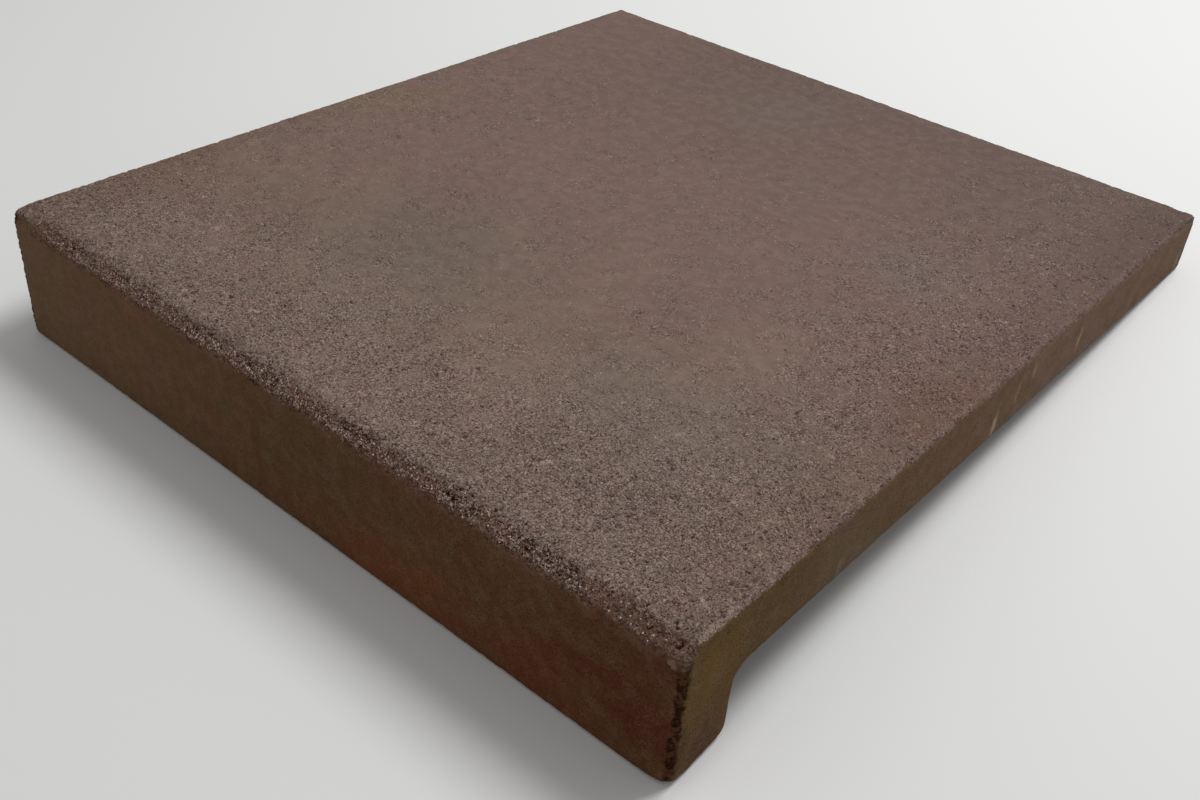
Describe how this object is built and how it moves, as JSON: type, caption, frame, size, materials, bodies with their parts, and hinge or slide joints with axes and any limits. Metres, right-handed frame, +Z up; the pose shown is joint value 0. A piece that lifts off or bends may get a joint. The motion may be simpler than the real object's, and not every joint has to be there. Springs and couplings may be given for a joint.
{
  "type": "cast stone step",
  "caption": "Cast stone step: a flat square-edged tread slab with a nose that drops in front of the riser.",
  "frame": {"origin": "on the floor, below the middle of the step's width and depth as it rests", "axes": "+X along the nose, +Y from the nose to the back edge, +Z up from the floor; the step leans back on its nose and its back bottom edge, so the tread face is 4.58 degrees from level"},
  "size_m": [0.45, 0.5042, 0.0749],
  "materials": {
    "cast_stone": "brown sandy cast face with small pits, smooth moulded edges"
  },
  "bodies": {
    "root": {"step": "cast_stone"}
  },
  "joints": []
}
